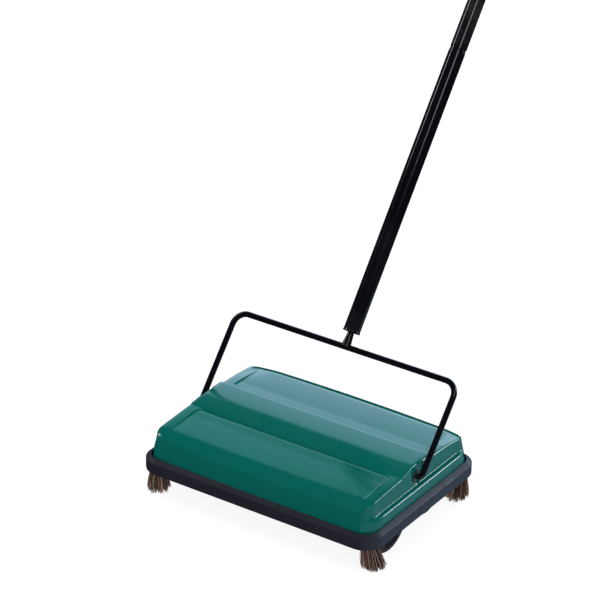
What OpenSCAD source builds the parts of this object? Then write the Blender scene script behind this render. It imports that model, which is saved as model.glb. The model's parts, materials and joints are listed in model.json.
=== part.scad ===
// Carpet sweeper: a low stamped-steel head on four rubber-tyred wheels, a
// brush roll driven by the wheels, two drop-down dust pans, a wrap-around
// bumper with a bristle tuft at each corner, and a wire bail that carries a
// three-piece tube handle.
// Millimetres. X runs along the brush, Y from front to back, Z up.
// The origin is on the floor under the middle of the head.

/* [Head] */
// overall width of the head over the bumper
head_w = 318; // [314:1:322]
// overall depth of the head over the bumper
head_d = 226; // [224:1:230]
// height of the bumper's lower edge above the floor
bumper_z = 34.5; // [33:0.5:36]
// height of the bumper's upright face
bumper_face = 14; // [12:0.5:14]
// rise of the bumper's sloping top
bumper_slope = 4; // [3:0.5:4]
// thickness of the bumper's outer wall
bumper_t = 6.5; // [6:0.5:7]
// corner radius of the bumper in plan
corner_r = 24; // [22:1:26]

/* [Cover] */
// thickness of the cover's sheet steel
sheet = 0.9; // [0.7:0.1:1]
// height of the ledge along each end of the cover
ledge_z = 66; // [65:0.5:67]
// height of the centre band's top
band_z = 90.4; // [90:0.2:91]
// half width of the centre band from front to back
band_half = 29.5; // [28:0.5:31]
// depth of the pressed panels beside the band
panel_deep = 0.8; // [0.4:0.1:1]
// how far the long top edges bow outward at the middle
bow = 3.5; // [1:0.5:4]

/* [Running gear] */
// outer radius of the rubber tyres
tyre_r = 36.5; // [36:0.1:36.6]
// distance of the wheel axles in front of and behind the brush
wheel_y = 46; // [46:0.1:47]
// width of each wheel
wheel_w = 8; // [6:0.5:8]
// height of the brush axis
brush_z = 32; // [31.9:0.1:32.2]
// radius over the bristle tips
brush_r = 31.7; // [30:0.1:31.7]
// radius of the rubber drive sleeves at the brush ends
drive_r = 9.4; // [9:0.1:9.5]

/* [Bail and handle] */
// height of the bail pivots
pivot_z = 75.5; // [75:0.5:76]
// half the distance between the bail legs
bail_half = 150.6; // [150.4:0.1:151]
// length of the bail legs from pivot to crossbar
bail_len = 112; // [111.5:0.5:116]
// diameter of the bail rod
bail_d = 7; // [6:0.2:7]
// lean of the bail legs above the horizontal, at rest
bail_tilt = 50; // [45:1:60]
// lean of the handle tubes above the horizontal, at rest
handle_tilt = 52.4; // [48:0.2:60]
// outside diameter of the handle tubes
tube_d = 19.8; // [19:0.2:20.4]
// wall thickness of the handle tubes
tube_wall = 0.6; // [0.5:0.1:0.7]
// exposed length of each handle section
section_len = 350; // [320:5:360]

/* [Hidden] */
$fn = 64;
e = 0.01;
hx = head_w / 2;                    // bumper half width
hy = head_d / 2;                    // bumper half depth
cover_x = hx - bumper_t;            // cover skirt half width
cover_y = hy - bumper_t;            // cover skirt half depth
cover_z0 = bumper_z + 7.5;          // lower edge of the cover
plate_x = 121.6;                    // inner face of the end plates
plate_t = 1.2;
in_x = 123.6;                       // inner face of the inboard wheels
out_x = in_x + wheel_w + 0.8;       // inner face of the outboard wheels
axle_r = 2.5;
axle_end = 144.2;
pan_hinge_y = 95;
pan_hinge_z = 30;
pan_rod_r = 1.6;
pan_half = 119.3;                   // half length of a dust pan
pocket_x = 143.2;                   // floor of the bail pocket
pocket_r = 12;
bail_r = bail_d / 2;
bend_r = 16;                        // bend of the bail's upper corners
foot_r = 5;                         // bend of the bail's inturned ends
cross_y = bail_len * cos(bail_tilt);
cross_z = pivot_z + bail_len * sin(bail_tilt);
tube_r = tube_d / 2;
tube_start = 18;                    // first tube's lower end above the crossbar
step_gap = 2;                       // bare neck seen at each tube joint
neck = 30;                          // length of tube swaged into the next one
joint_1 = tube_start + section_len;
joint_2 = joint_1 + section_len;
handle_end = joint_2 + section_len - 8;
grip_r = 12.6;
grip_len = 115;
tuft_x = 143.5;
tuft_y = 94.5;

// ---- plan and section helpers ----

// rounded rectangle whose long sides can bow outward
module plan(px, py, r, b = 0) {
    square([2 * px, 2 * (py - r)], center = true);
    square([2 * (px - r), 2 * py], center = true);
    for (sx = [-1, 1], sy = [-1, 1])
        translate([sx * (px - r), sy * (py - r)]) circle(r);
    if (b > 0) for (s = [-1, 1]) polygon(concat(
        [[px - r, s * (py - 1)], [r - px, s * (py - 1)]],
        [for (i = [0:16]) let (u = i / 8 - 1)
            [u * (px - r), s * (py + b * (1 - u * u))]]));
}

// height of the cover's top at a distance v from the middle
foot_z = band_z - 3.8;
roll_y = 85;
function slope_z(v) = foot_z - 0.055 * (v - band_half)
    - (v > roll_y ? 0.012 * pow(v - roll_y, 2) : 0);

// front-to-back section of the cover, lowered by d
function half_roof(d) = concat(
    [[19.5, band_z - d], [24, band_z - 0.35 - d], [band_half - 2, band_z - 0.9 - d]],
    [[band_half - 0.6, band_z - 1.7 - d], [band_half + 0.3, band_z - 3 - d]],
    [for (v = [band_half + 1.5, 45, 60, 75, 85, 90, 94, 98, 101, 104])
        [v, slope_z(v) - d]],
    [[107, slope_z(106.4) - d], [113, slope_z(107) - 2.2 - d]]);
// solid under the cover's top, inset by g: leaning walls, roof and end ledges
module cover_solid(g) {
    z0 = cover_z0 - (g > 0 ? 5 : 0);
    intersection() {
        hull() {
            translate([0, 0, z0]) linear_extrude(1)
                plan(cover_x - 0.5 - g, cover_y - 0.2 - g, 21 - g, $fn = 40);
            translate([0, 0, 70]) linear_extrude(0.1)
                plan(146.4 - g, cover_y - 2.5 - g, 18 - g, bow, $fn = 40);
            translate([0, 0, 96]) linear_extrude(0.1)
                plan(143.6 - g, cover_y - 3.5 - g, 17 - g, bow, $fn = 40);
        }
        roof_block(g);
    }
    for (s = [-1, 1]) scale([s, 1, 1]) intersection() {
        translate([0, 0, z0]) linear_extrude(40) polygon([
            [135, -98 + g], [146.5 - g, -98 + g], [cover_x - g, -80 + g / 4],
            [cover_x - g, 80 - g / 4], [146.5 - g, 98 - g], [135, 98 - g]]);
        rotate([90, 0, 0]) translate([0, 0, -100]) linear_extrude(200) polygon([
            [134, z0], [cover_x - g, z0], [cover_x - g, ledge_z - 2 - g],
            [cover_x - 0.6 - g, ledge_z - 0.7 - g], [cover_x - 2 - g, ledge_z - g],
            [147 - g, ledge_z + 1.2 - g], [134, ledge_z + 1.2 - g]]);
    }
}

// everything below the roof surface lowered by g
module roof_block(g) {
    h = half_roof(g);
    rotate([90, 0, 90]) translate([0, 0, -hx]) linear_extrude(head_w)
        polygon(concat([[-130, 0], [130, 0]],
            [for (i = [len(h) - 1:-1:0]) h[i]], [for (p = h) [-p[0], p[1]]]));
}

// cutter for the shallow pressed panels, fading out towards the long edges
module panel_cut(g) {
    for (s = [-1, 1]) intersection() {
        translate([0, s * 65, 60]) linear_extrude(40) {
            square([262 + 2 * g - 16, 62 + 2 * g], center = true);
            square([262 + 2 * g, 62 + 2 * g - 16], center = true);
            for (u = [-1, 1], v = [-1, 1])
                translate([u * (123 + g), v * (23 + g)]) circle(8);
        }
        rotate([90, 0, 90]) translate([0, 0, -140]) linear_extrude(280)
            polygon(concat([[s * 110, 99], [s * 25, 99]],
                [for (v = [25, 45, 60, 75, 85, 91, 98])
                    [s * v, slope_z(v) - g - panel_deep * (88 - v) / 40]]));
    }
}

// cutter for the pocket each bail leg swings in
module pocket_cut(g) {
    for (s = [-1, 1]) scale([s, 1, 1]) translate([pocket_x - g, 0, pivot_z + 4.5]) {
        rotate([0, 90, 0]) cylinder(r = pocket_r + g, h = 12);
        translate([0, -pocket_r - g, 0]) cube([12, 2 * (pocket_r + g), 30]);
    }
}

module top_cover() {
    color("#0b6a55") difference() {
        difference() {
            cover_solid(0);
            panel_cut(0);
            pocket_cut(0);
        }
        difference() {
            cover_solid(sheet);
            panel_cut(sheet);
            pocket_cut(sheet);
        }
        translate([0, 0, pivot_z]) rotate([0, 90, 0])
            cylinder(r = 5.6, h = 330, center = true);
    }
}

// ---- bumper ----

// section of the bumper channel, measured inward from its outer face
module bumper_section() {
    polygon([[0, 0.8], [0, bumper_face], [bumper_t - 0.9, bumper_face + bumper_slope],
        [bumper_t - 0.35, bumper_face + bumper_slope], [bumper_t - 0.35, 7.4],
        [bumper_t + 3.6, 7.4], [bumper_t + 3.6, 9.2], [11, 9.2],
        [11, 0.8], [10.2, 0], [0.8, 0]]);
}

module bumper() {
    color("#2b2b33") difference() {
        translate([0, 0, bumper_z]) {
            for (s = [-1, 1]) {
                translate([s * (hx - corner_r), s * hy, 0]) rotate([90, 0, -s * 90])
                    linear_extrude(head_w - 2 * corner_r) bumper_section();
                translate([s * hx, s * (corner_r - hy), 0])
                    rotate([90, 0, s > 0 ? 180 : 0])
                    linear_extrude(head_d - 2 * corner_r) bumper_section();
            }
            for (a = [0:3]) {
                sx = (a == 0 || a == 3) ? 1 : -1;
                sy = (a == 0 || a == 1) ? 1 : -1;
                translate([sx * (hx - corner_r), sy * (hy - corner_r), 0])
                    rotate([0, 0, a * 90]) rotate_extrude(angle = 90)
                    translate([corner_r, 0]) mirror([1, 0]) bumper_section();
                translate([sx * tuft_x, sy * tuft_y, 0]) cylinder(r = 11.5, h = 6.6);
            }
        }
        for (sx = [-1, 1], sy = [-1, 1])
            translate([sx * tuft_x, sy * tuft_y, bumper_z - 1]) cylinder(r = 9, h = 6);
    }
}

// ---- fixed frame inside the cover ----

module end_plate(s) {
    color("#8d9094") scale([s, 1, 1]) difference() {
        union() {
            translate([plate_x, 0, 0]) rotate([90, 0, 90]) linear_extrude(plate_t)
                polygon([[-99, 26], [-88, 26], [-80, 31], [-30, 31], [-22, 18], [22, 18],
                    [30, 31], [80, 31], [88, 26], [99, 26], [99, 70], [94, 76],
                    [band_half + 3, 81], [band_half - 3, 87], [14, band_z - sheet - 0.7],
                    [-14, band_z - sheet - 0.7], [3 - band_half, 87], [-band_half - 3, 81],
                    [-94, 76], [-99, 70]]);
            translate([plate_x, -13, band_z - 3.1]) cube([14, 26, plate_t]);
            for (t = [-1, 1]) translate([plate_x, t * 58 - 10, 29]) cube([plate_t, 20, 4]);
        }
        for (t = [-1, 1]) {
            translate([plate_x - 1, t * wheel_y, tyre_r]) rotate([0, 90, 0])
                cylinder(r = axle_r + 0.03, h = 4);
            translate([plate_x - 1, t * pan_hinge_y, pan_hinge_z]) rotate([0, 90, 0])
                cylinder(r = pan_rod_r + 0.03, h = 4);
        }
        translate([plate_x - 1, 0, brush_z]) rotate([0, 90, 0]) cylinder(r = 6.05, h = 4);
    }
}

// toothed bar that keeps the bristles clear of threads
module comb(s) {
    color("#33363a") scale([1, s, 1]) {
        translate([-plate_x + 0.05, -40, 58]) cube([2 * plate_x - 0.1, 1.6, 12]);
        translate([-plate_x + 0.05, -40, 68.4]) cube([2 * plate_x - 0.1, 9, 1.6]);
        for (i = [-11:11]) translate([i * 10 - 1, -39.4, 58]) rotate([-48, 0, 0])
            cube([2, 9, 1.4]);
    }
}

module pan_rod(s) {
    color("#b9bcc0") translate([0, s * pan_hinge_y, pan_hinge_z]) rotate([0, 90, 0]) {
        cylinder(r = pan_rod_r, h = 2 * 124.2, center = true);
        for (t = [-1, 1]) translate([0, 0, t * 123.6])
            cylinder(r = pan_rod_r + 1, h = 1.2, center = true);
    }
}

// ---- dust pans ----

// wall of the trough from the hinge to the lip beside the brush
module pan_section() {
    polygon([[-97.6, 30], [-97.6, 25], [-94.6, 21.8], [-80.5, 11.4], [-76, 10], [-58, 10],
        [-50, 11], [-35.4, 22.2], [-34.2, 25], [-35.2, 25.4], [-36.2, 23.2],
        [-50.4, 12.2], [-58, 11.2], [-75.7, 11.2], [-79.8, 12.4], [-93.9, 22.8],
        [-96.4, 25.4], [-96.4, 30]]);
    translate([-pan_hinge_y, pan_hinge_z]) circle(pan_rod_r + 1.2);
}

module pan(s) {
    color("#4a4d52") scale([1, -s, 1]) difference() {
        union() {
            rotate([90, 0, 90]) translate([0, 0, -pan_half]) linear_extrude(2 * pan_half)
                pan_section();
            for (t = [-1, 1]) translate([t * (pan_half - 0.5), 0, 0]) rotate([90, 0, 90])
                translate([0, 0, -0.5]) linear_extrude(1) polygon([[-97.6, 30],
                    [-97.6, 25], [-94.6, 21.8], [-80.5, 11.4], [-76, 10], [-58, 10],
                    [-50, 11], [-35.4, 22.2], [-34.2, 25], [-41, 40], [-90, 40]]);
            for (i = [-2:2]) translate([i * 44 - 0.6, -75, 11]) cube([1.2, 17, 1.6]);
            translate([-22, -101.2, 27.9]) cube([44, 4, 1.4]);
        }
        translate([0, -pan_hinge_y, pan_hinge_z]) rotate([0, 90, 0])
            cylinder(r = pan_rod_r + 0.08, h = 260, center = true);
        for (t = [-1, 1]) translate([t * 100 - 4.5, -99, 25.6]) cube([9, 8.7, 10]);
    }
}

// torsion spring wound on the pan rod, with its tail up against the rod's plate
module pan_spring(s) {
    color("#c8cacd") translate([0, s * pan_hinge_y, pan_hinge_z])
        for (t = [-1, 1]) translate([t * 100, 0, 0]) {
            for (i = [-2:2]) translate([i * 0.75, 0, 0]) rotate([0, 90, 0])
                rotate_extrude() translate([pan_rod_r + 0.5, 0]) circle(0.4, $fn = 20);
            translate([1.5, -s * (pan_rod_r + 0.5), 0]) cylinder(r = 0.4, h = 8, $fn = 20);
        }
}

// ---- brush roll ----

module brush_core() {
    color("#b58a55") translate([0, 0, brush_z]) rotate([0, 90, 0]) difference() {
        cylinder(r = 11, h = 237, center = true);
        cylinder(r = 3.02, h = 240, center = true);
    }
}

// six wound rows of bristle set into the core
module brush_bristles() {
    color("#5b4636") translate([0, 0, brush_z]) rotate([0, 90, 0]) difference() {
        translate([0, 0, -117]) linear_extrude(234, twist = 150, slices = 20)
            for (a = [0:60:300]) rotate(a) translate([0, -1.7]) square([brush_r - 0.05, 3.4]);
        cylinder(r = 11.02, h = 240, center = true);
    }
}

module brush_axle() {
    color("#b9bcc0") translate([0, 0, brush_z]) rotate([0, 90, 0])
        cylinder(r = 3, h = 2 * 141.6, center = true);
}

module drive_sleeve(s) {
    color("#1f2022") translate([s * 132.3, 0, brush_z]) rotate([0, 90, 0]) difference() {
        cylinder(r = drive_r, h = 17.4, center = true);
        cylinder(r = 3.02, h = 20, center = true);
        for (i = [-3:3]) translate([0, 0, i * 2.2]) difference() {
            cylinder(r = drive_r + 1, h = 0.5, center = true);
            cylinder(r = drive_r - 0.4, h = 0.6, center = true);
        }
    }
}

module brush_bearings() {
    color("#d9d7cf") for (s = [-1, 1]) scale([s, 1, 1])
        translate([0, 0, brush_z]) rotate([0, 90, 0]) difference() {
            union() {
                translate([0, 0, 119.9]) cylinder(r = 7.6, h = 1.6);
                translate([0, 0, 121]) cylinder(r = 6, h = 2.3);
            }
            translate([0, 0, 118]) cylinder(r = 3.06, h = 8);
        }
}

// ---- wheels ----

// s: end of the head, t: front (-1) or rear (1); the front right and rear
// left wheels run on the outer track, the other two on the inner track
function track_x(s, t) = (s * t < 0) ? out_x : in_x;

module wheel_axles() {
    color("#b9bcc0") for (s = [-1, 1], t = [-1, 1]) scale([s, 1, 1])
        translate([0, t * wheel_y, tyre_r]) rotate([0, 90, 0]) {
            translate([0, 0, 120.5]) cylinder(r = 4.6, h = 1.08);
            translate([0, 0, 121]) cylinder(r = axle_r, h = axle_end - 121);
        }
}

// push-on retainers and spacers that keep the wheels on their tracks
module axle_caps() {
    color("#9a9da1") for (s = [-1, 1], t = [-1, 1]) scale([s, 1, 1])
        translate([0, t * wheel_y, tyre_r]) rotate([0, 90, 0]) difference() {
            union() {
                translate([0, 0, track_x(s, t) + wheel_w + 0.25]) cylinder(r = 4.6, h = 0.9);
                if (s * t < 0) translate([0, 0, 122.9]) cylinder(r = 4.4, h = 9.2);
            }
            translate([0, 0, 120]) cylinder(r = axle_r + 0.02, h = 30);
        }
}

// bowed wire that draws a pair of axles together so the tyres grip the sleeve
module wheel_spring(s) {
    knee_y = 12;
    knee_z = 53;
    eye_z = tyre_r + axle_r + 0.95;
    reach = norm([wheel_y - knee_y, knee_z - eye_z]);
    lean = atan2(wheel_y - knee_y, knee_z - eye_z);
    color("#c8cacd") translate([s * 143, 0, 0]) {
        for (t = [-1, 1]) {
            translate([0, t * wheel_y, tyre_r]) rotate([0, 90, 0]) rotate_extrude()
                translate([axle_r + 0.95, 0]) circle(0.8, $fn = 20);
            translate([0, t * wheel_y, eye_z]) rotate([t * lean, 0, 0])
                cylinder(r = 0.8, h = reach, $fn = 20);
            translate([0, t * knee_y, knee_z]) sphere(r = 0.8, $fn = 20);
        }
        translate([0, 0, knee_z]) rotate([90, 0, 0])
            cylinder(r = 0.8, h = 2 * knee_y, center = true, $fn = 20);
    }
}

module wheel(s, t) {
    color("#26282b") scale([s, 1, 1]) translate([track_x(s, t), t * wheel_y, tyre_r])
        rotate([0, 90, 0]) difference() {
            union() {
                difference() {
                    cylinder(r = tyre_r - 3.2, h = wheel_w);
                    translate([0, 0, -1]) cylinder(r = tyre_r - 5.6, h = wheel_w + 2);
                }
                translate([0, 0, wheel_w / 2 - 1.2]) cylinder(r = tyre_r - 5, h = 2.4);
                cylinder(r = 6.4, h = wheel_w);
                for (a = [0:60:300]) rotate(a) translate([5, -0.9, 1.2])
                    cube([tyre_r - 10, 1.8, wheel_w - 2.4]);
            }
            translate([0, 0, -1]) cylinder(r = axle_r + 0.06, h = wheel_w + 2);
            for (a = [30:60:330]) rotate(a) translate([19, 0, -1])
                cylinder(r = 5.2, h = wheel_w + 2);
        }
}

module tyre(s, t) {
    w = wheel_w / 2;
    color("#1b1c1e") scale([s, 1, 1]) translate([track_x(s, t) + w, t * wheel_y, tyre_r])
        rotate([0, 90, 0]) rotate_extrude($fn = 96) polygon(concat(
            [[tyre_r - 3.18, -w], [tyre_r - 1.4, -w]],
            [for (a = [-75:15:75]) [tyre_r - 1.4 + 1.4 * cos(a), w * sin(a) * 0.98]],
            [[tyre_r - 1.4, w], [tyre_r - 3.18, w]]));
}

// ---- corner tufts ----

module tuft(sx, sy) {
    color("#6b5140") difference() {
        union() {
            translate([sx * tuft_x, sy * tuft_y, 33]) cylinder(r = 7.4, h = 5);
            translate([sx * tuft_x, sy * tuft_y, 0]) multmatrix([[1, 0, -sx * 0.075, sx * 2.5],
                [0, 1, -sy * 0.045, sy * 1.5], [0, 0, 1, 0], [0, 0, 0, 1]])
                translate([0, 0, 0.3]) cylinder(r1 = 11.4, r2 = 8.2, h = 33.2);
        }
    }
}

module tuft_plugs() {
    color("#202124") for (sx = [-1, 1], sy = [-1, 1])
        translate([sx * tuft_x, sy * tuft_y, bumper_z + 0.02]) difference() {
            cylinder(r = 8.96, h = 4.96);
            translate([0, 0, -1]) cylinder(r = 7.42, h = 4.52);
        }
}

// ---- bail and handle ----

module in_bail() {
    translate([0, 0, pivot_z]) rotate([bail_tilt - 90, 0, 0]) children();
}

module in_handle() {
    translate([0, cross_y, cross_z]) rotate([handle_tilt - 90, 0, 0]) children();
}

module bail() {
    color("#141518") in_bail() {
        translate([0, 0, bail_len]) rotate([0, 90, 0])
            cylinder(r = bail_r, h = 2 * (bail_half - bend_r), center = true);
        for (s = [-1, 1]) scale([s, 1, 1]) {
            translate([bail_half, 0, foot_r])
                cylinder(r = bail_r, h = bail_len - bend_r - foot_r);
            translate([bail_half - bend_r, 0, bail_len - bend_r]) rotate([90, 0, 0])
                rotate_extrude(angle = 90) translate([bend_r, 0]) circle(bail_r);
            translate([bail_half - foot_r, 0, foot_r]) rotate([90, 0, 0])
                rotate_extrude(angle = -90) translate([foot_r, 0]) circle(bail_r);
            translate([132, 0, 0]) rotate([0, 90, 0])
                cylinder(r = bail_r, h = bail_half - foot_r - 132);
        }
    }
}

module bail_bushes() {
    color("#d9d7cf") for (s = [-1, 1]) scale([s, 1, 1])
        translate([0, 0, pivot_z]) rotate([0, 90, 0]) difference() {
            union() {
                translate([0, 0, pocket_x + 0.02]) cylinder(r = 7, h = 1.5);
                translate([0, 0, 139]) cylinder(r = 5.55, h = pocket_x - 138);
            }
            translate([0, 0, 130]) cylinder(r = bail_r + 0.07, h = 20);
        }
}

module bail_retainers() {
    color("#9a9da1") for (s = [-1, 1]) scale([s, 1, 1])
        translate([0, 0, pivot_z]) rotate([0, 90, 0]) difference() {
            translate([0, 0, 134]) cylinder(r = 7, h = 1.4);
            translate([0, 0, 130]) cylinder(r = bail_r + 0.02, h = 12);
        }
}

// tapered stud welded to the crossbar and driven into the tube's plug
module handle_stud() {
    color("#141518") difference() {
        in_handle() {
            translate([0, 0, 0.5]) cylinder(r1 = 5.6, r2 = 3.5, h = 19);
            translate([0, 0, 19]) cylinder(r = 3.5, h = 26);
        }
        in_bail() translate([0, 0, bail_len]) rotate([0, 90, 0])
            cylinder(r = bail_r + 0.02, h = 40, center = true);
    }
}

module tube_plug() {
    color("#1a1b1e") in_handle() difference() {
        union() {
            translate([0, 0, tube_start + 1.6])
                cylinder(r = tube_r - tube_wall - 0.03, h = 24);
            translate([0, 0, tube_start + 0.2]) cylinder(r1 = 6.2, r2 = 7.4, h = 2);
        }
        translate([0, 0, tube_start - 1]) cylinder(r = 3.53, h = 40);
        for (a = [0:60:300]) rotate(a) translate([tube_r - 1.6, 0, tube_start - 1])
            cylinder(r = 1.5, h = 6, $fn = 24);
    }
}

// one handle section between two joints, its lower end slipping over the
// swaged neck of the section below
module tube(z0, z1, flare = 0) {
    r = tube_r;
    w = tube_wall;
    color("#141518") in_handle() rotate_extrude() polygon(concat(
        flare > 0 ? [[r - w + flare, z0], [r + flare, z0], [r, z0 + 2.4]]
                  : [[r - w, z0], [r, z0]],
        [[r, z1 - 6], [r - 0.25, z1 - 4], [r - w - 0.06, z1 - 1.6]],
        [[r - w - 0.06, z1 + neck], [r - 2 * w - 0.06, z1 + neck]],
        [[r - 2 * w - 0.06, z1 - 2], [r - w, z1 - 5]],
        flare > 0 ? [[r - w, z0 + 2.4]] : []));
}

module lower_tube() {
    tube(tube_start, joint_1, 0.7);
}

module middle_tube() {
    tube(joint_1, joint_2);
}

module upper_tube() {
    r = tube_r;
    color("#141518") in_handle() translate([0, 0, joint_2]) difference() {
        cylinder(r = r, h = handle_end - joint_2);
        translate([0, 0, -1]) cylinder(r = r - tube_wall, h = handle_end - joint_2 + 2);
    }
}

// ribbed sleeve grip with a rolled collar at its lower end
module hand_grip() {
    g0 = handle_end - grip_len;
    ri = tube_r + 0.03;
    color("#17181a") in_handle() difference() {
        union() {
            translate([0, 0, g0]) cylinder(r = grip_r - 0.8, h = grip_len - 4);
            translate([0, 0, g0]) cylinder(r = grip_r + 1.2, h = 4);
            for (i = [1:12]) translate([0, 0, g0 + 4 + i * 8]) cylinder(r = grip_r, h = 3);
            translate([0, 0, handle_end - 4.2]) cylinder(r = grip_r + 0.4, h = 4.2);
        }
        translate([0, 0, g0 - 1]) cylinder(r = ri, h = grip_len + 4);
    }
}

// end cap plugged into the top tube, with a flat eye to hang the sweeper by
module hang_loop() {
    color("#17181a") in_handle() difference() {
        union() {
            translate([0, 0, handle_end - 22]) cylinder(r = tube_r - tube_wall - 0.03, h = 23);
            translate([0, 0, handle_end + 0.02]) cylinder(r = grip_r + 0.4, h = 4);
            translate([0, 0, handle_end + 15]) rotate([0, 90, 0])
                cylinder(r = 9, h = 8, center = true);
            translate([-4, -9, handle_end + 3]) cube([8, 18, 12]);
        }
        translate([0, 0, handle_end + 15]) rotate([0, 90, 0])
            cylinder(r = 4.5, h = 20, center = true);
    }
}

// ---- nodes ----

top_cover();
bumper();
end_plate(-1);  // end_plate_left
end_plate(1);  // end_plate_right
comb(1);  // comb_front
comb(-1);  // comb_rear
pan_rod(-1);  // pan_rod_front
pan_rod(1);  // pan_rod_rear
pan(-1);  // front_pan
pan(1);  // rear_pan
pan_spring(-1);  // pan_spring_front
pan_spring(1);  // pan_spring_rear
brush_core();
brush_bristles();
brush_axle();
drive_sleeve(-1);  // drive_sleeve_left
drive_sleeve(1);  // drive_sleeve_right
brush_bearings();
wheel_axles();
axle_caps();
wheel_spring(-1);  // wheel_spring_left
wheel_spring(1);  // wheel_spring_right
wheel(-1, -1);  // wheel_front_left
wheel(1, -1);  // wheel_front_right
wheel(-1, 1);  // wheel_rear_left
wheel(1, 1);  // wheel_rear_right
tyre(-1, -1);  // tyre_front_left
tyre(1, -1);  // tyre_front_right
tyre(-1, 1);  // tyre_rear_left
tyre(1, 1);  // tyre_rear_right
tuft(-1, -1);  // tuft_front_left
tuft(1, -1);  // tuft_front_right
tuft(-1, 1);  // tuft_rear_left
tuft(1, 1);  // tuft_rear_right
tuft_plugs();
bail();
bail_bushes();
bail_retainers();
handle_stud();
tube_plug();
lower_tube();
middle_tube();
upper_tube();
hand_grip();
hang_loop();
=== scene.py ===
import json
import math

import bmesh
import bpy
import numpy as np
from mathutils import Matrix, Vector


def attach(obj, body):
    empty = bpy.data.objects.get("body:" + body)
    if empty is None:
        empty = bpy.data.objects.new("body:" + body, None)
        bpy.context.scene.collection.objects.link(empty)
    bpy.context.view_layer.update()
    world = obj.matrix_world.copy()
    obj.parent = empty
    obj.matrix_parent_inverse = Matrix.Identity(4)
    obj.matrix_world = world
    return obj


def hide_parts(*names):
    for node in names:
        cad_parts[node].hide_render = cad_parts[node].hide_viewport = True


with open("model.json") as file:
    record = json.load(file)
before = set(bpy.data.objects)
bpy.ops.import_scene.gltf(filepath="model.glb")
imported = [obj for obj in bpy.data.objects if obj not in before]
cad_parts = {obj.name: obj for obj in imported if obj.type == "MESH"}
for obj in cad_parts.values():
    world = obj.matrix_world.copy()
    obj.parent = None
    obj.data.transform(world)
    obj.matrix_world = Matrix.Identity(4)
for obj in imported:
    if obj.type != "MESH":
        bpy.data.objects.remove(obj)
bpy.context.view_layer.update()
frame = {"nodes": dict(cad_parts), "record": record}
rng = np.random.default_rng(11)
MM = 0.001

# ---------------------------------------------------------------- camera


# fitted in a scratch script to points read off the photograph
CAM_AZIMUTH, CAM_ELEVATION, CAM_ROLL = 33.97, 27.53, 0.78
CAM_DISTANCE, CAM_LENS = 3.385, 178.8
CAM_TARGET = Vector((-0.0528, 0.0560, 0.2122))


def add_camera():
    az, el, roll = (math.radians(v) for v in (CAM_AZIMUTH, CAM_ELEVATION, CAM_ROLL))
    fwd = Vector((-math.sin(az) * math.cos(el), math.cos(az) * math.cos(el), -math.sin(el)))
    right = Vector((math.cos(az), math.sin(az), 0))
    up = right.cross(fwd)
    r2 = right * math.cos(roll) + up * math.sin(roll)
    u2 = up * math.cos(roll) - right * math.sin(roll)
    cam = bpy.data.cameras.new("camera")
    cam.sensor_width = 36
    cam.lens = CAM_LENS
    cam.clip_end = 30
    cam.dof.use_dof = False
    ob = bpy.data.objects.new("camera", cam)
    bpy.context.scene.collection.objects.link(ob)
    rot = Matrix((r2, u2, -fwd)).transposed()
    ob.matrix_world = rot.to_4x4()
    ob.location = CAM_TARGET - fwd * CAM_DISTANCE
    bpy.context.scene.camera = ob


add_camera()

# ---------------------------------------------------------------- material kit


class Nodes:
    """Small helper round one material's node tree."""

    def __init__(self, name):
        self.mat = bpy.data.materials.new(name)
        self.mat.use_nodes = True
        self.t = self.mat.node_tree
        self.p = self.t.nodes["Principled BSDF"]

    def add(self, kind, **props):
        n = self.t.nodes.new(kind)
        for k, v in props.items():
            setattr(n, k, v)
        return n

    def link(self, a, b):
        self.t.links.new(a, b)

    def coords(self, scale=(1, 1, 1)):
        c = self.add("ShaderNodeTexCoord")
        m = self.add("ShaderNodeMapping")
        m.inputs["Scale"].default_value = scale
        self.link(c.outputs["Object"], m.inputs["Vector"])
        return m.outputs["Vector"]

    def noise(self, vec, scale, detail=4.0, rough=0.55):
        n = self.add("ShaderNodeTexNoise")
        n.inputs["Scale"].default_value = scale
        n.inputs["Detail"].default_value = detail
        n.inputs["Roughness"].default_value = rough
        self.link(vec, n.inputs["Vector"])
        return n.outputs["Fac"]

    def remap(self, fac, lo, hi, a=0.3, b=0.7):
        m = self.add("ShaderNodeMapRange")
        m.inputs["From Min"].default_value = a
        m.inputs["From Max"].default_value = b
        m.inputs["To Min"].default_value = lo
        m.inputs["To Max"].default_value = hi
        self.link(fac, m.inputs["Value"])
        return m.outputs["Result"]

    def mix(self, fac, c0, c1):
        m = self.add("ShaderNodeMix", data_type="RGBA")
        if hasattr(fac, "is_output"):
            self.link(fac, m.inputs["Factor"])
        else:
            m.inputs["Factor"].default_value = fac
        ins = [s for s in m.inputs if s.type == "RGBA"]
        for sock, c in zip(ins, (c0, c1)):
            if hasattr(c, "is_output"):
                self.link(c, sock)
            else:
                sock.default_value = (*c, 1)
        return [s for s in m.outputs if s.type == "RGBA"][0]

    def bump(self, height, strength, distance, normal=None):
        b = self.add("ShaderNodeBump")
        b.inputs["Strength"].default_value = strength
        b.inputs["Distance"].default_value = distance
        self.link(height, b.inputs["Height"])
        if normal is not None:
            self.link(normal, b.inputs["Normal"])
        return b.outputs["Normal"]

    def wear_and_highlight(self, vec, amount, lo=0.52, hi=0.60):
        """Rubbed edges and painted edge highlight: convex corners and creases made lighter, broken up by a
        coarse noise.
        """
        g = self.add("ShaderNodeNewGeometry")
        edge = self.remap(g.outputs["Pointiness"], 0.0, 1.0, lo, hi)
        patch = self.remap(self.noise(vec, 45.0, 5.0), 0.2 * amount, amount, 0.42, 0.62)
        m = self.add("ShaderNodeMath", operation="MULTIPLY")
        self.link(edge, m.inputs[0])
        self.link(patch, m.inputs[1])
        return m.outputs[0]


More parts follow.
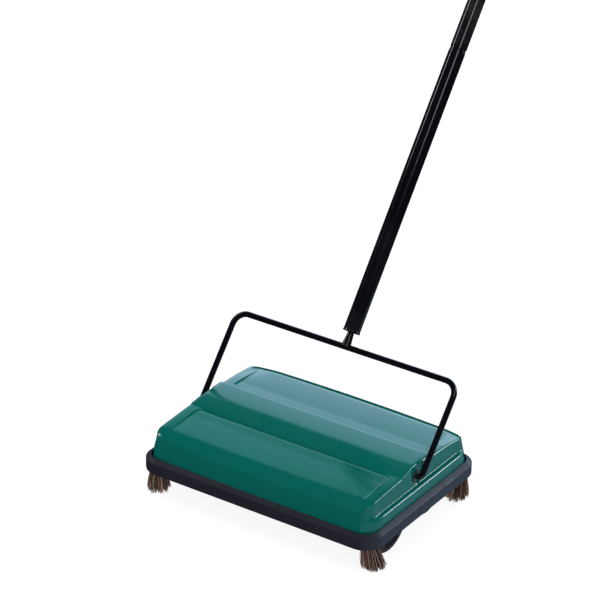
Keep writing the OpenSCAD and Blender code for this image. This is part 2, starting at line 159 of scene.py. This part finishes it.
def enamel(name, base, deep, rough):
    """Sprayed and stoved enamel on sheet steel: faint orange peel, rubbed edges, and a painted highlight
    along edges and creases.
    """
    n = Nodes(name)
    v = n.coords()
    tone = n.remap(n.noise(v, 9.0, 3.0), 0.0, 1.0)
    # convex edges and creases are mixed towards this paler colour: rubbed wear and painted highlight
    pale = tuple(0.04 + 1.6 * c for c in base)
    col = n.mix(n.wear_and_highlight(v, 0.30), n.mix(tone, base, deep), pale)
    n.link(col, n.p.inputs["Base Color"])
    r = n.remap(n.noise(v, 26.0, 6.0), rough, rough + 0.05)
    n.link(r, n.p.inputs["Roughness"])
    n.p.inputs["Specular IOR Level"].default_value = 0.5
    peel = n.noise(v, 260.0, 1.0)
    n.link(n.bump(peel, 0.05, 0.0001), n.p.inputs["Normal"])
    return n.mat


def moulded(name, base, light, rough, grain=900.0, depth=0.12, spec=0.4):
    """Moulded plastic, vinyl or rubber with a fine matt grain, rubbed edges and a painted highlight on
    convex edges.
    """
    n = Nodes(name)
    v = n.coords()
    cloud = n.noise(v, 14.0, 5.0)
    # convex edges are mixed towards this paler colour: rubbed wear and painted highlight
    worn_and_highlit = tuple(0.015 + 1.5 * c for c in light)
    col = n.mix(n.wear_and_highlight(v, 0.35), n.mix(n.remap(cloud, 0.0, 1.0), base, light), worn_and_highlit)
    n.link(col, n.p.inputs["Base Color"])
    n.link(n.remap(n.noise(v, 60.0, 5.0), rough - 0.06, rough + 0.08), n.p.inputs["Roughness"])
    n.p.inputs["Specular IOR Level"].default_value = spec
    g = n.noise(v, grain, 3.0)
    n.link(n.bump(g, depth, 0.0005), n.p.inputs["Normal"])
    return n.mat


def metal(name, base, rough, along=(1, 40, 40)):
    """Plated or rolled steel with drawing lines along one axis."""
    n = Nodes(name)
    v = n.coords(along)
    lines = n.noise(v, 60.0, 4.0)
    col = n.mix(n.remap(lines, 0.0, 1.0), base, tuple(c * 0.72 for c in base))
    n.link(col, n.p.inputs["Base Color"])
    n.p.inputs["Metallic"].default_value = 1.0
    n.link(n.remap(lines, rough, rough + 0.15), n.p.inputs["Roughness"])
    n.link(n.bump(lines, 0.08, 0.0003), n.p.inputs["Normal"])
    return n.mat


def wood(name):
    n = Nodes(name)
    v = n.coords((3, 40, 40))
    grain = n.noise(v, 12.0, 6.0, 0.65)
    n.link(n.mix(n.remap(grain, 0.0, 1.0), (0.50, 0.33, 0.17), (0.30, 0.18, 0.085)),
           n.p.inputs["Base Color"])
    n.link(n.remap(grain, 0.5, 0.75), n.p.inputs["Roughness"])
    n.link(n.bump(grain, 0.3, 0.0004), n.p.inputs["Normal"])
    return n.mat


def bristle(name, dark, mid, pale):
    """Natural bristle: each strand takes its own tone from a vertex colour."""
    n = Nodes(name)
    a = n.add("ShaderNodeAttribute", attribute_name="tone")
    ramp = n.add("ShaderNodeValToRGB")
    el = ramp.color_ramp.elements
    el[0].position, el[0].color = 0.0, (*dark, 1)
    el[1].position, el[1].color = 1.0, (*pale, 1)
    m = el.new(0.55)
    m.color = (*mid, 1)
    n.link(a.outputs["Fac"], ramp.inputs["Fac"])
    v = n.coords((1, 1, 0.2))
    streak = n.noise(v, 700.0, 2.0)
    n.link(n.mix(n.remap(streak, 0.0, 0.35), ramp.outputs["Color"], dark),
           n.p.inputs["Base Color"])
    n.link(n.remap(streak, 0.45, 0.7), n.p.inputs["Roughness"])
    n.p.inputs["Specular IOR Level"].default_value = 0.35
    return n.mat


M = {
    "green": enamel("green_enamel", (0.0005, 0.096, 0.080), (0.0003, 0.090, 0.075), 0.11),
    "black": enamel("black_enamel", (0.0030, 0.0028, 0.0048), (0.0022, 0.002, 0.0036), 0.10),
    "bumper": moulded("bumper_vinyl", (0.0090, 0.0088, 0.0175), (0.0108, 0.0105, 0.0205),
                      0.50, 700.0, 0.05, 0.5),
    "plate": metal("plate_steel", (0.42, 0.43, 0.44), 0.32),
    "zinc": metal("zinc_wire", (0.55, 0.56, 0.57), 0.24),
    "comb": moulded("comb_plastic", (0.03, 0.03, 0.033), (0.045, 0.045, 0.048), 0.5),
    "pan": moulded("pan_plastic", (0.035, 0.035, 0.038), (0.05, 0.05, 0.054), 0.48),
    "wood": wood("brush_wood"),
    "sleeve": moulded("sleeve_rubber", (0.016, 0.016, 0.016), (0.026, 0.026, 0.026), 0.7),
    "tyre": moulded("tyre_rubber", (0.020, 0.021, 0.024), (0.032, 0.034, 0.038), 0.62, 600, 0.3),
    "wheel": moulded("wheel_plastic", (0.022, 0.023, 0.027), (0.034, 0.035, 0.04), 0.42),
    "nylon": moulded("nylon", (0.62, 0.60, 0.54), (0.70, 0.68, 0.62), 0.4),
    "grip": moulded("grip_vinyl", (0.012, 0.012, 0.013), (0.02, 0.02, 0.022), 0.55, 700, 0.3),
    "cap": moulded("cap_plastic", (0.010, 0.010, 0.011), (0.016, 0.016, 0.018), 0.25),
    "brushhair": bristle("brush_bristle", (0.012, 0.008, 0.006), (0.035, 0.022, 0.014),
                         (0.11, 0.075, 0.045)),
    "tufthair": bristle("tuft_bristle", (0.022, 0.011, 0.008), (0.165, 0.088, 0.062),
                        (0.78, 0.55, 0.45)),
}
BY_SLOT = {"green_enamel": "green", "black_enamel": "black", "bumper_vinyl": "bumper",
           "plate_steel": "plate", "zinc_wire": "zinc", "comb_plastic": "comb",
           "pan_plastic": "pan", "brush_wood": "wood", "brush_bristle": "brushhair",
           "tuft_bristle": "tufthair", "sleeve_rubber": "sleeve", "tyre_rubber": "tyre",
           "wheel_plastic": "wheel", "nylon": "nylon", "plug_plastic": "cap",
           "grip_vinyl": "grip", "cap_plastic": "cap"}
for part in frame["record"]["subparts"]:
    ob = frame["nodes"][part["node"]]
    mat = M[BY_SLOT[part["material_slot"]]]
    if not ob.material_slots:
        ob.data.materials.append(mat)
    # the bail's bushes take the darker cap plastic: partly a dark plastic bush, partly painted shade for
    # the shade in the pocket round the bail's end
    if part["node"] == "bail_bushes":
        mat = M["cap"]
    for s in ob.material_slots:
        s.material = mat

# ---------------------------------------------------------------- mesh kit


def piece(name, verts, faces, mat, smooth=True, tone=None):
    me = bpy.data.meshes.new(name)
    me.from_pydata([tuple(v) for v in verts], [], [tuple(f) for f in faces])
    me.validate()
    if smooth:
        me.polygons.foreach_set("use_smooth", [True] * len(me.polygons))
    if tone is not None:
        a = me.attributes.new("tone", "FLOAT", "POINT")
        a.data.foreach_set("value", tone)
    me.materials.append(mat)
    me.update()
    ob = bpy.data.objects.new(name, me)
    bpy.context.scene.collection.objects.link(ob)
    return ob


def fix_normals(ob):
    bm = bmesh.new()
    bm.from_mesh(ob.data)
    bmesh.ops.recalc_face_normals(bm, faces=bm.faces)
    bm.to_mesh(ob.data)
    bm.free()


def smoothstep(a, b, x):
    t = np.clip((x - a) / (b - a), 0, 1)
    return t * t * (3 - 2 * t)


# ---------------------------------------------------------------- cover

# half sizes and radius of the bumper ring's outline and of the cover's foot, mm
HEAD_X, HEAD_Y, HEAD_R = 159, 113, 24
CX, CY, CR = 152.4, 107.1, 21.0
BUMPER_Z = 34.5             # underside of the bumper
TUFT_X, TUFT_Y = 143.5, 94.5
BRUSH_Z = 32                # brush axis
BAND, BAND_Z, FOOT_Z = 29.5, 90.4, 86.6   # half width and top of the band, roof at its foot
BOW = 3.5                   # how far the long edges bow out


def roof_z(x, y):
    """Height of the cover's top, in mm, before the long edges are bowed."""
    v = np.abs(y)
    w = v - BAND
    slope = FOOT_Z - 0.0335 * w - 0.00031 * w * w
    slope = slope - np.where(y < 0, 0.012 * np.maximum(v - 85, 0) ** 2, 0.018 * np.maximum(v - 88, 0) ** 2)
    corner = np.clip((np.abs(x) - 112) / 34, 0, 1) * np.clip((y - 55) / 50, 0, 1)
    slope = slope - 3.0 * corner ** 1.5
    # the band: nearly level behind, rolled down a little more in front
    u = -y - 6
    top = BAND_Z - 0.052 * (np.sqrt(u * u + 9) + u) - 0.0004 * np.maximum(y, 0) ** 2
    top = top - 0.03 * np.maximum(y - 25.8, 0) ** 2
    step = smoothstep(BAND - 1.3, BAND + 1.5, v)
    z = top * (1 - step) + slope * step
    # shallow pressed panels beside the band, the front one with a channel along its foot
    dx = np.abs(x) - 131
    dy = np.abs(v - 64.5) - 33
    ax, ay = np.maximum(dx + 8, 0), np.maximum(dy + 8, 0)
    d = np.hypot(ax, ay) + np.minimum(np.maximum(dx + 8, dy + 8), 0) - 8
    inside = 1 - smoothstep(-1.6, 0.6, d)
    depth = 1.1 * np.clip((92 - v) / 44, 0, 1)
    depth = depth + np.where(y < 0, 1.0, 0.0) * np.exp(-((v - 32.0) / 1.9) ** 2)
    return z - inside * depth * smoothstep(BAND - 0.4, BAND + 1.4, v)


def top_inset(z):
    """Inset of the end wall from the skirt at height z."""
    return CX - (146.4 - (z - 70) * 0.1077)


def pocket(y, z):
    """How far a point is inside the bail pocket: 1 inside, 0 outside."""
    d = np.where(z < 80, np.hypot(y, z - 80), np.abs(y)) - 12.0
    return 1 - smoothstep(-0.8, 0.7, d)


def make_cover():
    # rows along Y, with extra rows where the shape turns
    ys = set(np.round(np.linspace(0, 86.2, 40), 3))
    ys |= set(np.round(np.arange(BAND - 3.2, BAND + 5.4, 0.36), 3))
    ys |= set(np.round(np.arange(10.2, 13.6, 0.3), 3))
    ys |= set(np.round(np.arange(31, 40, 0.8), 3))
    ys = np.array(sorted(ys))
    phis = np.radians(np.linspace(0, 90, 22))[1:]
    rows = [("s", y) for y in ys] + [("c", p) for p in phis]
    rows = [(k, v, -1) for k, v in rows[:0:-1]] + [(k, v, 1) for k, v in rows]
    us = set(np.round(np.linspace(0, 1, 36), 4))
    us |= set(np.round((131 + np.arange(-4.5, 3.2, 0.6)) / 143.5, 4))
    us = np.array(sorted(us))
    us = np.concatenate([-us[:0:-1], us])
    rc = 2.2
    top_dy = 3.4

    def edge(kind, v, sgn, z, inset_extra, side_dx):
        """Point on the outline that is inset at height z."""
        if kind == "s":
            return CX - side_dx - inset_extra, sgn * v
        dy = 0.2 + (z - 42) * top_dy / 35 + inset_extra
        ex, ey = CR - side_dx - inset_extra, CR - dy
        return (CX - CR) + ex * math.cos(v), sgn * ((CY - CR) + ey * math.sin(v))

    def bowed(x, y, z):
        w = np.clip((np.abs(y) - 34) / 70, 0, 1) ** 2 * np.clip((z - 42) / 30, 0, 1)
        return y + np.sign(y) * BOW * w * np.clip(1 - (x / 131) ** 2, 0, 1)

    verts, faces, index = [], [], {}

    def put(x, y, z):
        verts.append((x * MM, float(bowed(x, y, z)) * MM, z * MM))
        return len(verts) - 1

    nrow, ncol = len(rows), len(us)
    rim = []
    for i, (k, v, sgn) in enumerate(rows):
        y_edge = sgn * (v if k == "s" else (CY - CR) + (CR - 3.6) * math.sin(v))
        z_edge = float(roof_z(0.0 + 140, y_edge))
        base_dx = float(top_inset(z_edge))
        p = float(pocket(y_edge, 95.0))
        dx = base_dx * (1 - p) + (CX - 143.3) * p
        ex, ey = edge(k, v, sgn, z_edge, rc, dx)
        for j, u in enumerate(us):
            x = ex * u
            z = float(roof_z(x, ey))
            index[i, j] = put(x, ey, z)
        rim.append((ex, ey))
    for i in range(nrow - 1):
        for j in range(ncol - 1):
            faces.append((index[i, j], index[i, j + 1], index[i + 1, j + 1], index[i + 1, j]))

    # outline loop: right end rows, back row, left end rows, front row
    loop = []
    for i in range(nrow):
        loop.append((rows[i], 1, index[i, ncol - 1], 1.0))
    for j in range(ncol - 2, 0, -1):
        loop.append((rows[-1], us[j], index[nrow - 1, j], None))
    for i in range(nrow - 1, -1, -1):
        loop.append((rows[i], -1, index[i, 0], 1.0))
    for j in range(1, ncol - 1):
        loop.append((rows[0], us[j], index[0, j], None))

    zs_low = [42, 50, 57, 61, 63, 64.2, 65.0, 65.6, 66.0, 66.25, 66.6, 67.0, 67.3, 67.7, 68.2,
              68.7, 69.3, 70, 70.8, 71.6, 72.4, 73.2, 74.0]
    prof_z = [42, 63.0, 64.2, 65.2, 65.8, 66.1, 66.35, 66.8, 67.2, 67.7, 68.4, 70, 96]
    prof_d = [0, 0.0, 0.22, 0.8, 1.6, 2.4, 3.4, 4.9, 5.5, 5.75, 5.88, 6.0, 8.8]
    n_up = 9
    rings = []
    for (k, v, sgn), u, top_id, side in loop:
        y_edge = sgn * (v if k == "s" else (CY - CR) + (CR - 3.6) * math.sin(v))
        z_edge = float(roof_z(140.0 if abs(u) == 1 else 0.0, y_edge))
        zt = z_edge - rc
        ledge = (1 - smoothstep(78, 97, abs(y_edge))) if side is not None else 0.0
        col = []
        # crease rounding
        for a in np.radians(np.linspace(90, 0, 7))[1:]:
            col.append((zt + rc * math.sin(a), rc - rc * math.cos(a)))
        z_top = zt
        lows = [z for z in zs_low if z < z_top - 0.6]
        extra = np.linspace(z_top, lows[-1], n_up + (len(zs_low) - len(lows)) + 1)[1:-1]
        for z in list(extra) + lows[::-1]:
            col.append((float(z), 0.0))
        ids = [top_id]
        for z, ins in col:
            plain = float(np.interp(z, [42, 54, 62, 70, 78, 96], [0.2, 0.9, 2.4, 4.7, 6.5, 8.8]))
            led = float(np.interp(z, prof_z, prof_d))
            dx = plain * (1 - ledge) + led * ledge
            if side is not None and k == "s":
                p = float(pocket(v, z if z < 88 else 95.0))
                dx = dx * (1 - p) + max(dx, CX - 143.3) * p
            if side is not None:
                ex, ey = edge(k, v, sgn, min(z, 77 if k == "c" else z), ins, dx)
                ids.append(put(ex * u, ey, z))
            else:
                dyy = 0.2 + (min(z, 77) - 42) * top_dy / 35 + ins
                x = rim[0][0] * u
                ids.append(put(x, sgn * (CY - dyy), z))
        rings.append(ids)
    n = len(rings)
    depth = min(len(r) for r in rings)
    assert all(len(r) == depth for r in rings), "columns differ"
    for a in range(n):
        b = (a + 1) % n
        for k in range(depth - 1):
            q = (rings[a][k], rings[a][k + 1], rings[b][k + 1], rings[b][k])
            if len(set(q)) == 4:
                faces.append(q)
    ob = piece("cover_shell", verts, faces, M["green"])
    bm = bmesh.new()
    bm.from_mesh(ob.data)
    bmesh.ops.remove_doubles(bm, verts=bm.verts, dist=1e-6)
    bmesh.ops.recalc_face_normals(bm, faces=bm.faces)
    if sum((f.normal.z for f in bm.faces if f.calc_center_median().z > 0.08)) < 0:
        bmesh.ops.reverse_faces(bm, faces=bm.faces)
    bm.to_mesh(ob.data)
    bm.free()
    sol = ob.modifiers.new("sheet", "SOLIDIFY")
    sol.thickness = 0.0009
    sol.offset = -1
    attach(ob, "head")
    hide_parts("top_cover")


make_cover()

# ---------------------------------------------------------------- loops of section round the head


def ring_loft(name, hx, hy, r, section, mat, z0, arc):
    """Sweeps a closed (inset, height) section round a rounded rectangle, mm."""
    path = []
    for q, (sx, sy) in enumerate(((1, 1), (-1, 1), (-1, -1), (1, -1))):
        for a in np.radians(np.linspace(0, 90, arc)) + q * math.pi / 2:
            path.append((sx * (hx - r), sy * (hy - r), math.cos(a), math.sin(a)))
    verts, faces = [], []
    for cx, cy, dx, dy in path:
        for ins, h in section:
            verts.append(((cx + dx * (r - ins)) * MM, (cy + dy * (r - ins)) * MM, (z0 + h) * MM))
    m, n = len(section), len(path)
    for i in range(n):
        for k in range(m):
            a, b = i * m + k, i * m + (k + 1) % m
            c, d = ((i + 1) % n) * m + (k + 1) % m, ((i + 1) % n) * m + k
            faces.append((a, b, c, d))
    ob = piece(name, verts, faces, mat)
    fix_normals(ob)
    return ob


def rounded(poly, radii, steps=5):
    """Rounds the corners of a closed polygon."""
    out = []
    n = len(poly)
    for i, r in enumerate(radii):
        p, a, b = Vector(poly[i]), Vector(poly[i - 1]), Vector(poly[(i + 1) % n])
        if r <= 0:
            out.append(tuple(p))
            continue
        ua, ub = (a - p).normalized(), (b - p).normalized()
        half = math.acos(max(-1, min(1, ua.dot(ub)))) / 2
        t = min(r / math.tan(half), (a - p).length * 0.48, (b - p).length * 0.48)
        p0, p1 = p + ua * t, p + ub * t
        for k in range(steps + 1):
            s = k / steps
            out.append(tuple(p0 * (1 - s) ** 2 + p * 2 * s * (1 - s) + p1 * s * s))
    return out


def make_bumper():
    poly = [(0, 0), (0, 14), (5.9, 18), (6.3, 18), (6.3, 7.4), (7.5, 7.4), (7.5, 11), (11, 11), (11, 0)]
    rad = [1.2, 1.8, 1.0, 0.2, 0, 0, 0.5, 0.8, 0.8]
    ob = ring_loft("bumper_ring", HEAD_X, HEAD_Y, HEAD_R, rounded(poly, rad), M["bumper"], BUMPER_Z, 20)
    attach(ob, "head")
    return ob


bumper = make_bumper()


def turned(name, rings, mat, at=(0, 0, 0), seg=40):
    """Lathe piece about Z from (radius, height) rings, mm; closed where radius is 0."""
    verts, faces, prev = [], [], None
    for r, h in rings:
        if r == 0:
            verts.append((at[0] * MM, at[1] * MM, (at[2] + h) * MM))
            cur = [len(verts) - 1] * seg
        else:
            cur = []
            for k in range(seg):
                a = 2 * math.pi * k / seg
                verts.append(((at[0] + r * math.cos(a)) * MM, (at[1] + r * math.sin(a)) * MM,
                              (at[2] + h) * MM))
                cur.append(len(verts) - 1)
        if prev:
            for k in range(seg):
                q = [prev[k], prev[(k + 1) % seg], cur[(k + 1) % seg], cur[k]]
                q = [x for i, x in enumerate(q) if x not in q[:i]]
                if len(q) > 2:
                    faces.append(q)
        prev = cur
    ob = piece(name, verts, faces, mat)
    fix_normals(ob)
    return ob


def make_sockets():
    obs = []
    for sx in (-1, 1):
        for sy in (-1, 1):
            tag = ("rear" if sy > 0 else "front") + ("_right" if sx > 0 else "_left")
            ob = turned("tuft_socket_" + tag, [(0, 6.4), (10.6, 6.4), (11.4, 5.6), (11.4, 0.8), (10.8, 0.1),
                        (9.4, 0.1), (9.05, 0.5), (9.05, 4.8), (0, 4.8)], M["bumper"],
                        (sx * TUFT_X, sy * TUFT_Y, BUMPER_Z))
            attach(ob, "head")
            obs.append(ob)
    return obs


sockets = make_sockets()
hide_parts("bumper")
for s in sockets:
    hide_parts("bumper")

# ---------------------------------------------------------------- bristles


def strands(name, roots, tips, bend, mat, width=0.32, seg=6, sides=3, wob=0.8, tones=None):
    """Many tapered strands from roots to tips, mm; bend pushes their middles sideways."""
    verts, faces, tone = [], [], []
    for i, (root, tip, mid) in enumerate(zip(roots, tips, bend)):
        root, tip, mid = np.array(root), np.array(tip), np.array(mid)
        axis = tip - root
        length = np.linalg.norm(axis)
        axis = axis / length
        side = np.cross(axis, (0.31, 0.77, 0.55))
        side /= np.linalg.norm(side)
        other = np.cross(axis, side)
        t0 = float(np.clip(rng.normal(0.5, 0.24), 0, 1)) if tones is None else tones[i]
        kink = rng.normal(0, wob, 2)
        start = len(verts)
        for k in range(seg + 1):
            s = k / seg
            c = root * (1 - s) ** 2 + mid * 2 * s * (1 - s) + tip * s * s
            c = c + (side * kink[0] + other * kink[1]) * math.sin(3.1 * s) * 0.5
            w = width * (1.0 - 0.45 * s)
            for m in range(sides):
                a = 2 * math.pi * m / sides
                verts.append((c + (side * math.cos(a) + other * math.sin(a)) * w) * MM)
                tone.append(min(1, max(0, t0 + 0.25 * (s - 0.4))))
        for k in range(seg):
            for m in range(sides):
                a = start + k * sides + m
                b = start + k * sides + (m + 1) % sides
                faces.append((a, b, b + sides, a + sides))
        faces.append([start + seg * sides + m for m in range(sides)])
    return piece(name, verts, faces, mat, True, tone)


# how far the bristle ends of each tuft have been pushed by use, mm
LEAN = {"front_left": (-2.2, 3.3), "front_right": (3.5, 6.5), "rear_right": (0.6, -6.5),
        "rear_left": (-1.5, -5.0)}
CLUMPS = 34


def make_tuft(tag, sx, sy, count=800):
    """A flared tuft of stiff natural bristle, splayed by use into ragged clumps."""
    cx, cy = sx * TUFT_X, sy * TUFT_Y
    bx, by = cx + LEAN[tag][0], cy + LEAN[tag][1]
    roots, tips, mids, tones = [], [], [], []
    angle = rng.uniform(0, 2 * math.pi, CLUMPS)
    reach = np.sqrt(rng.uniform(0.02, 1, CLUMPS))
    pull = rng.uniform(0.15, 0.5, CLUMPS)
    shade = rng.uniform(0.10, 0.62, CLUMPS)
    short = rng.uniform(0.0, 3.0, CLUMPS) + (2.2 if sy > 0 else 0.0)
    for i in range(count):
        a = rng.uniform(0, 2 * math.pi)
        r = math.sqrt(rng.uniform(0, 1))
        root = (cx + 7.6 * r * math.cos(a), cy + 7.6 * r * math.sin(a), 37.5)
        gap = (r * np.cos(a) - reach * np.cos(angle)) ** 2 + (r * np.sin(a) - reach * np.sin(angle)) ** 2
        k = int(np.argmin(gap))
        px = r * math.cos(a) * (1 - pull[k]) + reach[k] * math.cos(angle[k]) * pull[k]
        py = r * math.sin(a) * (1 - pull[k]) + reach[k] * math.sin(angle[k]) * pull[k]
        flare = 14.2 * rng.uniform(0.86, 1.06)
        tx, ty = flare * px + rng.normal(0, 0.5), flare * py + rng.normal(0, 0.5)
        lift = 0.6 + short[k] + abs(rng.normal(0, 1.3)) + 3.6 * max(0, math.hypot(px, py) - 0.55)
        tip = (bx + tx, by + ty, lift)
        out = 1.6 * r + 0.9 * rng.normal()
        mids.append(((root[0] + tip[0]) / 2 + out * math.cos(a),
                     (root[1] + tip[1]) / 2 + out * math.sin(a), 17.0))
        roots.append(root)
        tips.append(tip)
        pale = rng.uniform(0, 1) < 0.07
        tones.append(float(np.clip(0.95 if pale else shade[k] + rng.normal(0, 0.13), 0, 1)))
    ob = strands("tuft_hair_" + tag, roots, tips, mids, M["tufthair"], 0.36, tones=tones)
    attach(ob, "head")
    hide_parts("tuft_" + tag)


for sx in (-1, 1):
    for sy in (-1, 1):
        make_tuft(("rear" if sy > 0 else "front") + ("_right" if sx > 0 else "_left"), sx, sy)


def make_brush():
    roots, tips, mids = [], [], []
    for row in range(6):
        for k in range(59):
            x = -115.5 + k * 231 / 58
            a0 = math.radians(row * 60 + 150 * (x + 117) / 234)
            for _ in range(9):
                a = a0 + rng.normal(0, 0.03)
                xx = x + rng.normal(0, 0.9)
                b = a + rng.normal(0, 0.05)
                r0, r1 = 10.4, 31.3 * rng.uniform(0.975, 1.0)
                roots.append((xx, r0 * math.cos(a), BRUSH_Z + r0 * math.sin(a)))
                x_tip = np.clip(xx + rng.normal(0, 1.4), -116.8, 116.8)
                tips.append((x_tip, r1 * math.cos(b), BRUSH_Z + r1 * math.sin(b)))
                m = (r0 + r1) / 2
                mids.append((xx, m * math.cos(a), BRUSH_Z + m * math.sin(a)))
    ob = strands("brush_hair", roots, tips, mids, M["brushhair"], 0.30, 3, 3, 0.3)
    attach(ob, "brush")
    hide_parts("brush_bristles")


make_brush()

# ---------------------------------------------------------------- finish on the kept CAD nodes

for name, ob in frame["nodes"].items():
    if ob.hide_render:
        continue
    ob.data.polygons.foreach_set("use_smooth", [True] * len(ob.data.polygons))
    mod = ob.modifiers.new("soft_edge", "BEVEL")
    mod.width = 0.0003
    mod.segments = 2
    mod.limit_method = "ANGLE"
    mod.angle_limit = math.radians(40)
    mod.harden_normals = True

# ---------------------------------------------------------------- stage


def quad(name, corners, mat):
    me = bpy.data.meshes.new(name)
    me.from_pydata(corners, [], [range(k, k + 4) for k in range(0, len(corners), 4)])
    me.materials.append(mat)
    ob = bpy.data.objects.new(name, me)
    bpy.context.scene.collection.objects.link(ob)
    ob.visible_glossy = False
    ob.visible_shadow = False
    return ob


def make_stage():
    """A pale floor in an even white room, which reflections do not see."""
    n = Nodes("studio_floor")
    v = n.coords()
    tone = n.remap(n.noise(v, 3.0, 2.0), 0.0, 1.0)
    n.link(n.mix(tone, (0.16, 0.16, 0.16), (0.15, 0.15, 0.15)), n.p.inputs["Base Color"])
    n.p.inputs["Emission Color"].default_value = (1, 1, 1, 1)
    n.p.inputs["Emission Strength"].default_value = 0.9
    n.p.inputs["Roughness"].default_value = 0.95
    n.p.inputs["Specular IOR Level"].default_value = 0.0
    s, h = 30.0, 24.0
    quad("floor", [(-s, -s, 0), (s, -s, 0), (s, s, 0), (-s, s, 0)], n.mat)
    n = Nodes("studio_wall")
    n.p.inputs["Base Color"].default_value = (0, 0, 0, 1)
    n.p.inputs["Specular IOR Level"].default_value = 0.0
    n.p.inputs["Emission Color"].default_value = (1, 1, 1, 1)
    n.p.inputs["Emission Strength"].default_value = 1.0
    walls = [(-s, -s, h), (-s, s, h), (s, s, h), (s, -s, h)]
    for ax, ay, bx, by in ((-1, -1, 1, -1), (1, -1, 1, 1), (1, 1, -1, 1), (-1, 1, -1, -1)):
        walls += [(ax * s, ay * s, 0), (ax * s, ay * s, h), (bx * s, by * s, h), (bx * s, by * s, 0)]
    quad("white_room", walls, n.mat)
    # the floor close by on the right, as the head's own side sees it
    n = Nodes("near_floor_glow")
    n.p.inputs["Base Color"].default_value = (0, 0, 0, 1)
    n.p.inputs["Specular IOR Level"].default_value = 0.0
    n.p.inputs["Emission Color"].default_value = (0.45, 0.74, 1.0, 1)
    n.p.inputs["Emission Strength"].default_value = 0.55
    x0, x1, y0, y1, lift = 0.165, 0.5, -0.3, 0.5, 0.001
    ob = quad("near_floor", [(x0, y0, lift), (x1, y0, lift), (x1, y1, lift), (x0, y1, lift)], n.mat)
    ob.visible_glossy = True
    ob.visible_camera = False
    ob.visible_diffuse = False


# Colour of the card behind the object by the height of the direction's unit vector. Its tones
# were tuned until the roof's reflection came near the photograph's.
CARD_GLOW = (
    (-0.20, (0.0, 0.0, 0.0)), (-0.06, (0.110, 0.150, 0.170)), (0.00, (0.182, 0.234, 0.286)),
    (0.16, (0.279, 0.396, 0.480)), (0.26, (0.422, 0.584, 0.747)), (0.34, (0.545, 0.770, 1.000)),
    (0.39, (0.510, 0.710, 0.940)), (0.46, (0.230, 0.365, 0.490)), (0.55, (0.070, 0.204, 0.227)),
    (0.57, (0.063, 0.184, 0.204)), (0.60, (0.007, 0.020, 0.020)), (0.63, (0.0, 0.0, 0.0)))
CARD_STRENGTH = 4.0


def make_world():
    """What gloss reflects: a bright card behind the object, fading out upwards."""
    w = bpy.data.worlds.new("studio")
    bpy.context.scene.world = w
    w.use_nodes = True
    w.cycles_visibility.diffuse = False
    t = w.node_tree

    def node(kind, **props):
        made = t.nodes.new(kind)
        for key, value in props.items():
            setattr(made, key, value)
        return made

    def math_node(op, *args):
        made = node("ShaderNodeMath", operation=op)
        for i, arg in enumerate(args):
            if isinstance(arg, (int, float)):
                made.inputs[i].default_value = arg
            else:
                t.links.new(arg, made.inputs[i])
        return made.outputs[0]

    xyz = node("ShaderNodeSeparateXYZ")
    t.links.new(node("ShaderNodeTexCoord").outputs["Generated"], xyz.inputs[0])
    x, y, z = xyz.outputs
    squares = math_node("ADD", math_node("MULTIPLY", x, x), math_node("MULTIPLY", y, y))
    flat = math_node("SQRT", squares)
    def fade(value, lo, hi):
        made = node("ShaderNodeMapRange", interpolation_type="SMOOTHSTEP")
        t.links.new(value, made.inputs["Value"])
        made.inputs["From Min"].default_value = lo
        made.inputs["From Max"].default_value = hi
        return made.outputs["Result"]

    behind = fade(math_node("DIVIDE", y, flat), 0.45, 0.80)
    low_right = fade(math_node("MULTIPLY_ADD", math_node("MAXIMUM", z, 0.0), 4.0, x), 0.3, 0.6)
    ramp = node("ShaderNodeValToRGB")
    t.links.new(math_node("MULTIPLY_ADD", z, 0.5, 0.5), ramp.inputs["Fac"])
    for i, (height, color) in enumerate(CARD_GLOW):
        e = ramp.color_ramp.elements[i] if i < 2 else ramp.color_ramp.elements.new(1.0)
        e.position = height / 2 + 0.5
        e.color = (*color, 1)
    bg = t.nodes["Background"]
    t.links.new(ramp.outputs["Color"], bg.inputs["Color"])
    spread = math_node("MULTIPLY", behind, low_right)
    t.links.new(math_node("MULTIPLY", spread, CARD_STRENGTH), bg.inputs["Strength"])
    bpy.context.scene.view_settings.view_transform = "Standard"


TUBE = Vector((0, 0.6101, 0.7923))      # direction of the handle tubes


def soft_box(name, direction, dist, width, height, radiance, color=(1, 1, 1), lift=None):
    """A rectangular lamp seen from the object along direction, with a given brightness.
    With a lift, its long side runs along the handle and starts that far above the head."""
    centre = Vector((0, 0.05, 0.12))
    back = Vector(direction).normalized()
    up = TUBE if lift is not None else Vector((0, 0, 1))
    up = (up - back * up.dot(back)).normalized()
    at = centre + back * dist
    if lift is not None:
        at = at + up * (lift + height / 2)
    side = up.cross(back)
    li = bpy.data.lights.new(name, "AREA")
    li.shape = "RECTANGLE"
    li.size, li.size_y = width, height
    li.energy = radiance * 4 * width * height
    li.color = color
    ob = bpy.data.objects.new(name, li)
    ob.matrix_world = Matrix((side, up, back)).transposed().to_4x4()
    ob.location = at
    bpy.context.scene.collection.objects.link(ob)
    return ob


make_stage()
make_world()
soft_box("left_box", (-0.848, -0.37, 0.389), 4.0, 0.52, 1.6, 6.0, lift=0.52)
soft_box("front_box", (0.65, -0.53, 0.54), 4.0, 0.70, 1.6, 4.0, lift=0.47)
rim = soft_box("rim_box", (0.58, 0.7355, 0.31), 4.0, 0.9, 1.8, 7.0)
rim.visible_diffuse = False
top = soft_box("top_fill", (0.0, -0.05, 1.0), 3.0, 3.2, 3.2, 0.55, (0.84, 0.95, 1.05))
top.visible_glossy = False
